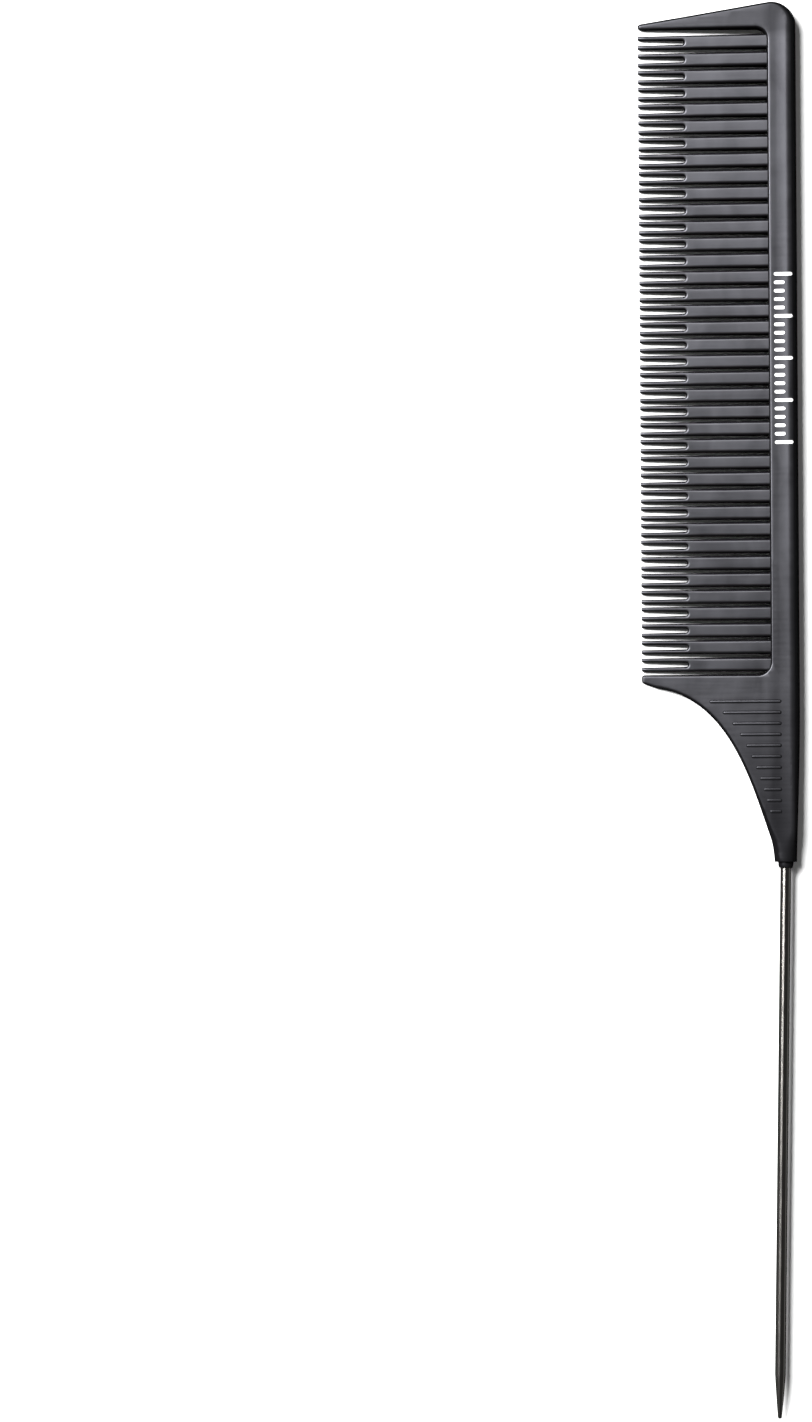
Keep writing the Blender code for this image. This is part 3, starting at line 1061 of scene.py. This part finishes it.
def bright_steel():
    """Drawn steel wire: its highlight smears along the pin and fades to the tip."""
    shader = Shader("bright_steel_wire")
    lines = shader.noise(6000, stretch=(1, 0.02, 1))
    rings = shader.noise(2500, stretch=(0.05, 1, 0.05))
    clouds = shader.noise(250, detail=3.0)
    colour = shader.mix(clouds, STEEL_DARK, STEEL_LIGHT)
    along = shader.part(shader.place, "Y")
    tip, neck = cad_box[0][1], body_low[1]
    polish = shader.remap(along, tip, neck, TIP_ROUGHNESS, NECK_ROUGHNESS)
    rough = shader.math("ADD", polish, shader.vary(clouds, -0.008, 0.008))
    normal = shader.bump(lines, DRAW_LINE_DEPTH)
    normal = shader.bump(rings, DRAW_RING_DEPTH, normal)
    axis = shader.add("ShaderNodeCombineXYZ")
    axis.inputs["X"].default_value = math.sin(math.radians(PIN_CANT_DEGREES))
    axis.inputs["Y"].default_value = math.cos(math.radians(PIN_CANT_DEGREES))
    return shader.finish(
        Base_Color=colour,
        Metallic=1.0,
        Roughness=rough,
        Anisotropic=0.9,
        Tangent=axis.outputs["Vector"],
        Normal=normal,
    )


def white_ink():
    """Matt white ink, a little uneven."""
    shader = Shader("white_ink")
    patches = shader.noise(1800, detail=3.0)
    colour = shader.mix(patches, INK_DARK, INK_LIGHT)
    normal = shader.bump(patches, INK_DEPTH)
    return shader.finish(Base_Color=colour, Roughness=0.6, Normal=normal)


def wear(piece, material):
    piece.data.materials.clear()
    piece.data.materials.append(material)


# Studio

FLOOR_HALF_SIZE = 3.0

# The softbox: its middle, width and depth in metres, and its brightness
SOFTBOX_PLACE = (-1.49, 0.8755, 1.8)
SOFTBOX_SIZE = (2.118, 0.775)
SOFTBOX_RADIANCE = 57.0

# Strength of the surroundings, for matt surfaces and in reflections
MATT_STRENGTH = 0.16
RIM_STRENGTH = 0.16
ZENITH_STRENGTH = 0.022
RIM_TOP = 0.35                 # upward slope at which the pale rim has faded out
BACKDROP_STRENGTH = 1.0

# Camera: aim in plan positions, height of the view in millimetres, roll in radians
CAMERA_AIM = (65.96, 117.92)
CAMERA_VIEW_HEIGHT = 238.8
CAMERA_ROLL = -0.0068
CAMERA_LENS = 135.0
CAMERA_SENSOR = 36.0


def build_floor():
    """A sheet of pale paper that the crest and the thinner arm tips both rest on; in reflections it
    shows a painted dark reflection.
    """
    work = bmesh.new()
    bmesh.ops.create_grid(work, x_segments=1, y_segments=1, size=FLOOR_HALF_SIZE)
    floor = mesh_object("floor", work)
    floor.location.x = body_high[0] - CREST_REST_IN * MM
    floor.rotation_euler.y = REST_TILT
    shader = Shader("pale_paper")
    fibres = shader.noise(400, detail=3.0)
    colour = shader.mix(fibres, PAPER_DARK, PAPER_LIGHT)
    # painted dark reflection: glossy rays see the paper as near black
    path = shader.add("ShaderNodeLightPath")
    colour = shader.mix(path.outputs["Is Glossy Ray"], colour, PAPER_PAINTED_DARK_REFLECTION)
    wear(floor, shader.finish(Base_Color=colour, Roughness=0.9, Specular_IOR_Level=0.0))


def build_lights():
    """One big softbox facing down, far out on the teeth's side and past the head end."""
    data = bpy.data.lights.new("softbox", "AREA")
    data.shape = "RECTANGLE"
    data.size, data.size_y = SOFTBOX_SIZE
    data.energy = SOFTBOX_RADIANCE * math.pi * data.size * data.size_y
    lamp = bpy.data.objects.new("softbox", data)
    bpy.context.scene.collection.objects.link(lamp)
    lamp.location = SOFTBOX_PLACE
    lamp.visible_camera = False


def build_world():
    """Even light on matt surfaces, a white backdrop, dim surroundings with a pale rim."""
    world = bpy.data.worlds.new("studio")
    world.use_nodes = True
    nodes = world.node_tree.nodes
    links = world.node_tree.links
    background = nodes["Background"]
    path = nodes.new("ShaderNodeLightPath")
    strength = nodes.new("ShaderNodeMix")
    strength.data_type = "FLOAT"
    strength.inputs[2].default_value = MATT_STRENGTH
    direction = nodes.new("ShaderNodeSeparateXYZ")
    links.new(nodes.new("ShaderNodeTexCoord").outputs["Generated"], direction.inputs[0])
    rim = nodes.new("ShaderNodeMapRange")
    links.new(direction.outputs["Z"], rim.inputs["Value"])
    rim.inputs["From Min"].default_value = 0.0
    rim.inputs["From Max"].default_value = RIM_TOP
    rim.inputs["To Min"].default_value = RIM_STRENGTH
    rim.inputs["To Max"].default_value = ZENITH_STRENGTH
    links.new(rim.outputs["Result"], strength.inputs[3])
    links.new(path.outputs["Is Glossy Ray"], strength.inputs["Factor"])
    backdrop = nodes.new("ShaderNodeMix")
    backdrop.data_type = "FLOAT"
    links.new(path.outputs["Is Camera Ray"], backdrop.inputs["Factor"])
    links.new(strength.outputs[0], backdrop.inputs[2])
    backdrop.inputs[3].default_value = BACKDROP_STRENGTH
    links.new(backdrop.outputs[0], background.inputs["Strength"])
    background.inputs["Color"].default_value = (1.0, 1.0, 1.0, 1.0)
    bpy.context.scene.world = world
    bpy.context.scene.view_settings.view_transform = "Standard"


def build_camera():
    """Looks square to the floor, centred left of the comb, rolled by under half a degree."""
    data = bpy.data.cameras.new("camera")
    data.lens = CAMERA_LENS
    data.sensor_width = CAMERA_SENSOR
    data.clip_start = 0.01
    camera = bpy.data.objects.new("camera", data)
    bpy.context.scene.collection.objects.link(camera)
    aim = Vector(in_world(Vector(CAMERA_AIM), 0.0))
    turn = Matrix.Rotation(REST_TILT, 4, "Y") @ Matrix.Rotation(CAMERA_ROLL, 4, "Z")
    distance = CAMERA_VIEW_HEIGHT * MM * CAMERA_LENS / CAMERA_SENSOR
    back_off = turn @ Vector((0.0, 0.0, distance))
    camera.matrix_world = Matrix.Translation(aim + back_off) @ turn
    bpy.context.scene.camera = camera


def main():
    body = build_body()
    pin = build_pin()
    finish_shading(pin, PIN_SHARP_ANGLE)
    marks = build_print()
    wear(body, carbon_plastic())
    wear(pin, bright_steel())
    wear(marks, white_ink())
    for piece in (body, pin, marks):
        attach(piece, "root")
    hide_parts("comb_body")
    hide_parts("tail_pin")
    build_floor()
    build_lights()
    build_world()
    build_camera()


main()
